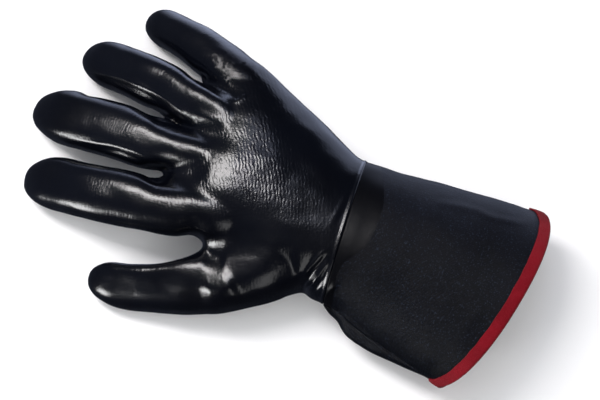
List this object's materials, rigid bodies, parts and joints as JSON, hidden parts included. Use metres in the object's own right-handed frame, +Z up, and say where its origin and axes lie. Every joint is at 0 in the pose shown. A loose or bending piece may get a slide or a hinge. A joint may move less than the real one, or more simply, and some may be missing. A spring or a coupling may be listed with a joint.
{
  "type": "nitrile coated gauntlet glove",
  "caption": "Right-hand work glove dipped in dark navy nitrile, with a flared canvas gauntlet cuff and a red taped hem, lying palm down.",
  "frame": {"origin": "under the middle of the glove's bounding box, on the surface that it lies on", "axes": "+Y along the glove towards the fingertips, +X towards the little finger, +Z up out of the back of the hand"},
  "size_m": [0.1888, 0.3264, 0.0734],
  "materials": {
    "nitrile_coating": "glossy dipped nitrile with a fine knit texture showing through on the back",
    "coated_canvas": "semi-matte coated canvas with a fine weave",
    "edge_tape": "matte woven crimson tape"
  },
  "bodies": {
    "root": {"hand": "nitrile_coating", "cuff": "coated_canvas", "hem_binding": "edge_tape"}
  },
  "joints": []
}
